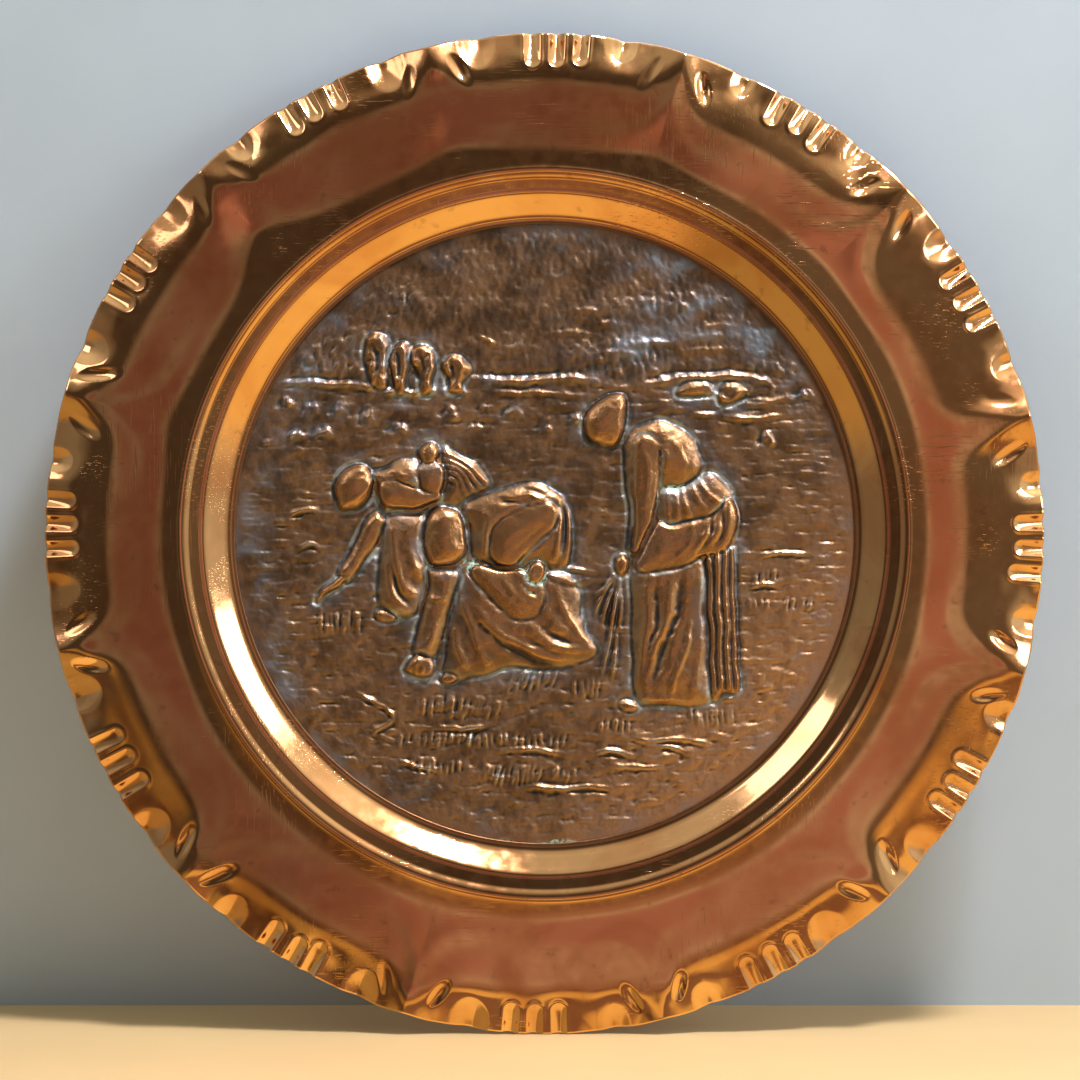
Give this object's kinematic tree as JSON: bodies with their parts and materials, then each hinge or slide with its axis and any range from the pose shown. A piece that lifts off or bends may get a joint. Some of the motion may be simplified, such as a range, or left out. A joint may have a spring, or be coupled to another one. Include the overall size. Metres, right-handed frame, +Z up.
{
  "type": "embossed copper wall plate",
  "caption": "Round copper wall plate with a crimped, lobed border, a moulded well and an embossed picture disc, hung by a swinging ring behind.",
  "frame": {"origin": "centre of the whole plate's bounding box: on the plate's axis, halfway between the bead on the front and the retaining ring's back face", "axes": "+Z up as the plate hangs, the front faces -Y, +X to the right seen from the front"},
  "size_m": [0.4, 0.0126, 0.4],
  "materials": {
    "polished_copper": "polished, fine wipe scratches",
    "patinated_copper": "dark brown patina rubbed back on the high spots",
    "dull_copper": "dull, oxidised",
    "solder": "dull tin grey",
    "brass_wire": "satin wire"
  },
  "bodies": {
    "plate": {"rim": "polished_copper", "relief_disc": "patinated_copper", "retaining_ring": "dull_copper", "hanger_strap": "dull_copper", "hanger_solder_left": "solder", "hanger_solder_right": "solder", "solder_tack_01": "solder", "solder_tack_02": "solder", "solder_tack_03": "solder", "solder_tack_04": "solder", "solder_tack_05": "solder", "solder_tack_06": "solder", "solder_tack_07": "solder", "solder_tack_08": "solder"},
    "hanging_ring": {"hanging_ring": "brass_wire"}
  },
  "joints": [
    {"name": "ring_swing", "type": "hinge", "parent": "plate", "child": "hanging_ring", "pos_m": [0, -0.00185, 0.17], "axis": [1, 0, 0], "range_deg": [0, 150]}
  ]
}
